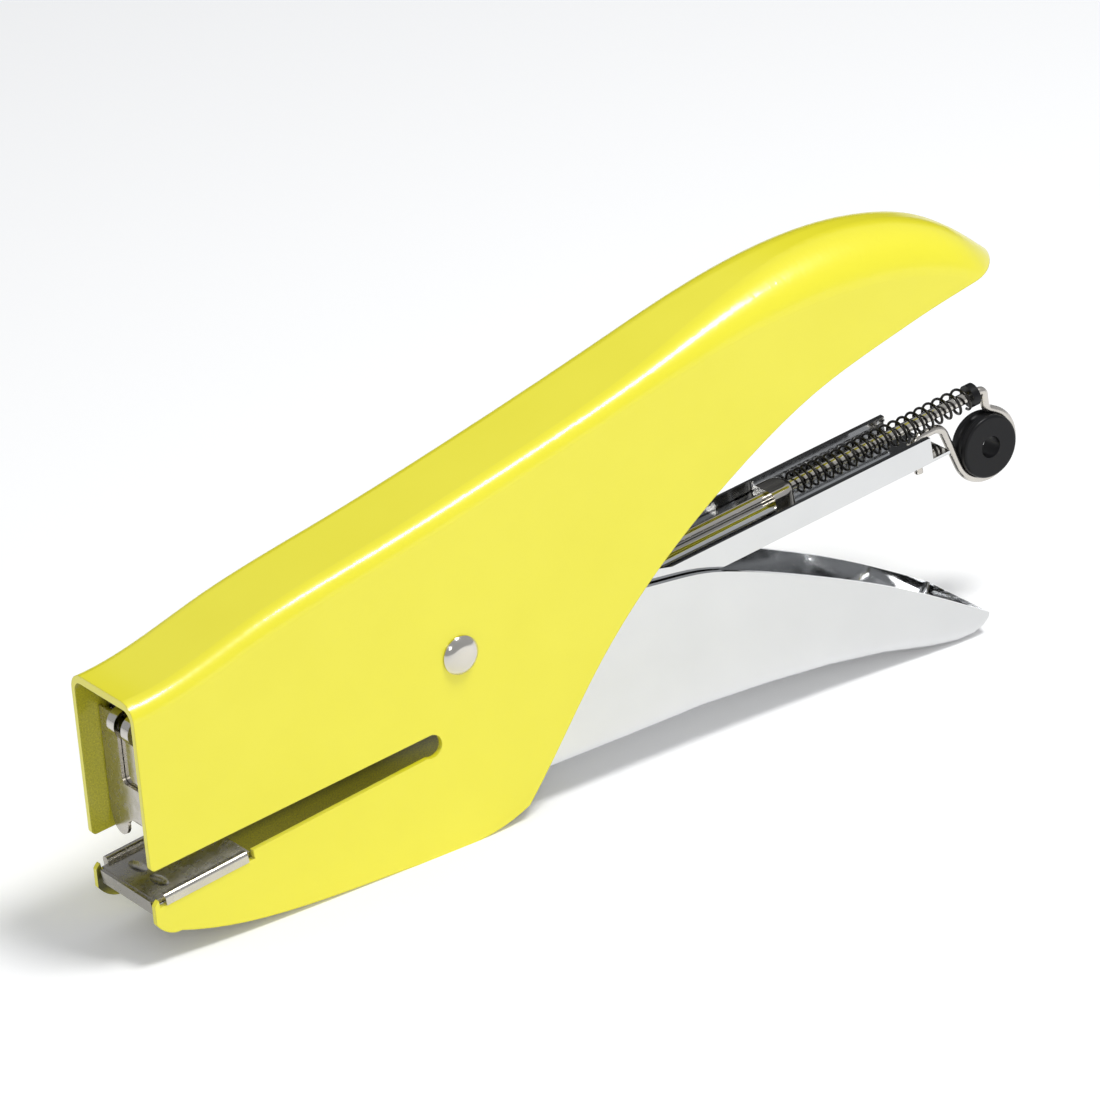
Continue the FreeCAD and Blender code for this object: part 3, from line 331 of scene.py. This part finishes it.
# %% Springs
def coil(name, wire, radius, pitch, turns, foot, way, body, stands_for, finish, crowding=0.0, sway=0.0):
    """A coil of wire: section radius, coil radius, climb per turn, start point and direction.

    Crowding packs the turns at the start and opens them at the end; sway bends the coil's axis.
    """
    deselect()
    bpy.ops.mesh.primitive_circle_add(vertices=10, radius=wire, rotation=(math.pi / 2, 0, 0))
    spring = bpy.context.object
    spring.name = name
    bpy.ops.object.transform_apply(rotation=True)
    bpy.ops.object.mode_set(mode="EDIT")
    bpy.ops.transform.translate(value=(radius, 0, 0))
    bpy.ops.object.mode_set(mode="OBJECT")
    screw = spring.modifiers.new("climb", "SCREW")
    screw.axis = "Z"
    screw.steps = 28
    screw.render_steps = 28
    screw.iterations = turns
    screw.screw_offset = pitch
    screw.use_smooth_shade = True
    bpy.ops.object.modifier_apply(modifier="climb")
    bpy.ops.object.mode_set(mode="EDIT")
    bpy.ops.mesh.select_all(action="SELECT")
    bpy.ops.mesh.remove_doubles(threshold=wire * 0.01)
    bpy.ops.mesh.select_all(action="DESELECT")
    bpy.ops.mesh.select_mode(type="EDGE")
    bpy.ops.mesh.select_non_manifold()
    bpy.ops.mesh.edge_face_add()
    bpy.ops.mesh.select_all(action="SELECT")
    bpy.ops.mesh.normals_make_consistent(inside=False)
    bpy.ops.object.mode_set(mode="OBJECT")
    length = pitch * turns
    # the screw made an even coil; here its pitch and its axis change a little along the way
    for vertex in spring.data.vertices:
        part_way = vertex.co.z / length
        vertex.co.z = length * part_way * (1 - crowding + crowding * part_way)
        vertex.co.y += sway * math.sin(5 * math.pi * part_way) * math.sin(math.pi * part_way)
    spring.rotation_euler = Vector((0, 0, 1)).rotation_difference(way).to_euler()
    spring.location = foot
    settle(spring)
    dress(spring, finish)
    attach(spring, body)
    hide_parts(stands_for)
    return spring


def slanted_ends(node):
    """Middles of the two ends of a round node that lies along the magazine."""
    low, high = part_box(node)
    middle = (low + high) / 2
    half = (high.x - low.x) / 2 / math.cos(LEAN)
    return middle - ALONG * half, middle + ALONG * half


spring_front, spring_rear = slanted_ends("pusher_spring")
SPRING_WIRE = 0.25 * MM
SPRING_RADIUS = 2.1 * MM
SPRING_TURNS = 21
SPRING_MARGIN = 0.7 * MM
spring_run = (spring_rear - spring_front).length - 2 * SPRING_MARGIN
coil(
    "pusher_coil", SPRING_WIRE, SPRING_RADIUS, spring_run / SPRING_TURNS, SPRING_TURNS,
    spring_front + ALONG * SPRING_MARGIN, ALONG, "loader", "pusher_spring", "black_spring",
    crowding=0.18, sway=0.2 * MM,
)

low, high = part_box("return_spring")
RETURN_WIRE = 0.5 * MM
RETURN_TURNS = 7
UP = Vector((0, 0, 1))
foot = Vector(((low.x + high.x) / 2, 0, low.z + RETURN_WIRE))
return_radius = (high.x - low.x) / 2 - RETURN_WIRE
return_pitch = (high.z - low.z - 2 * RETURN_WIRE) / RETURN_TURNS
return_coil = coil(
    "return_coil", RETURN_WIRE, return_radius, return_pitch, RETURN_TURNS,
    foot, UP, "lever", "return_spring", "spring_steel",
)
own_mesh(return_coil)

# %% [markdown]
# ## Stage and light
# A pale floor and a pale room keep the plating light. One part of the room, low behind the object, is
# dark, so that the plating has something to reflect. The small lamp overhead draws the bright line
# along the bend of the shell.

# %% Stage
deselect()
bpy.ops.mesh.primitive_plane_add(size=6, location=(0, 0, 0))
floor = bpy.context.object
floor.name = "floor"
floor_paint, floor_tree, floor_shader, floor_place = material_tree("pale_floor")
floor_shader.inputs["Base Color"].default_value = (0.95, 0.95, 0.95, 1)
floor_shader.inputs["Emission Color"].default_value = (1, 1, 1, 1)
floor_shader.inputs["Emission Strength"].default_value = 0.10
floor_shader.inputs["Roughness"].default_value = 0.9
floor.data.materials.append(floor_paint)
floor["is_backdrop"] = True

world = bpy.data.worlds.new("room")
bpy.context.scene.world = world
bpy.context.scene.view_settings.view_transform = "Standard"
world.use_nodes = True
room = world.node_tree
sky = room.nodes["Background"]
sky.inputs["Color"].default_value = (0.95, 0.97, 1.0, 1)


def dim_patch(toward, inner, outer):
    """1 over most of the room, falling to nearly 0 round a direction.

    Inner and outer are the cosines of the angles where the fall ends and where it starts.
    """
    view = room.nodes.new("ShaderNodeTexCoord")
    facing = room.nodes.new("ShaderNodeVectorMath")
    facing.operation = "DOT_PRODUCT"
    facing.inputs[1].default_value = Vector(toward).normalized()
    room.links.new(view.outputs["Generated"], facing.inputs[0])
    fall = room.nodes.new("ShaderNodeMapRange")
    fall.interpolation_type = "SMOOTHSTEP"
    fall.inputs["From Min"].default_value = outer
    fall.inputs["From Max"].default_value = inner
    fall.inputs["To Min"].default_value = 1.0
    fall.inputs["To Max"].default_value = 0.04
    room.links.new(facing.outputs["Value"], fall.inputs["Value"])
    return fall.outputs["Result"]


ROOM_LIGHT = 0.50
DARK_SIDE = (0.60, 0.78, 0.20)
brightness = room.nodes.new("ShaderNodeMath")
brightness.operation = "MULTIPLY"
brightness.inputs[1].default_value = ROOM_LIGHT
room.links.new(dim_patch(DARK_SIDE, 0.95, 0.86), brightness.inputs[0])
room.links.new(brightness.outputs["Value"], sky.inputs["Strength"])


def soft_light(name, place, aim, size, power):
    """A square soft box that faces a point."""
    deselect()
    bpy.ops.object.light_add(type="AREA", location=place)
    lamp = bpy.context.object
    lamp.name = name
    lamp.data.shape = "SQUARE"
    lamp.data.size = size
    lamp.data.energy = power
    lamp.rotation_euler = (Vector(aim) - Vector(place)).to_track_quat("-Z", "Y").to_euler()


MIDDLE = (0, 0, 0.03)
soft_light("overhead", (0.19, -0.33, 0.92), MIDDLE, 0.25, 6.0)
soft_light("key", (-0.62, -0.90, 0.66), MIDDLE, 0.22, 1.6)

# %% [markdown]
# ## Camera
# It looks from the front left, a little from above, through a long lens, and leans slightly.

# %% Camera
AIM = PIVOT + Vector((21.2, -7.5, 11.6)) * MM
DISTANCE = 1.1487
AZIMUTH = math.radians(-33.47)
ELEVATION = math.radians(25.28)
ROLL = math.radians(4.95)
bpy.ops.object.camera_add()
camera = bpy.context.object
camera.data.sensor_width = 36
camera.data.lens = 222.5
camera.data.clip_end = 20
ahead = Vector((
    -math.sin(AZIMUTH) * math.cos(ELEVATION),
    math.cos(AZIMUTH) * math.cos(ELEVATION),
    -math.sin(ELEVATION),
))
level = ahead.to_track_quat("-Z", "Y").to_matrix().to_4x4()
camera.matrix_world = Matrix.Translation(AIM - ahead * DISTANCE) @ level @ Matrix.Rotation(-ROLL, 4, "Z")
bpy.context.scene.camera = camera

# %% Finish
low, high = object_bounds()
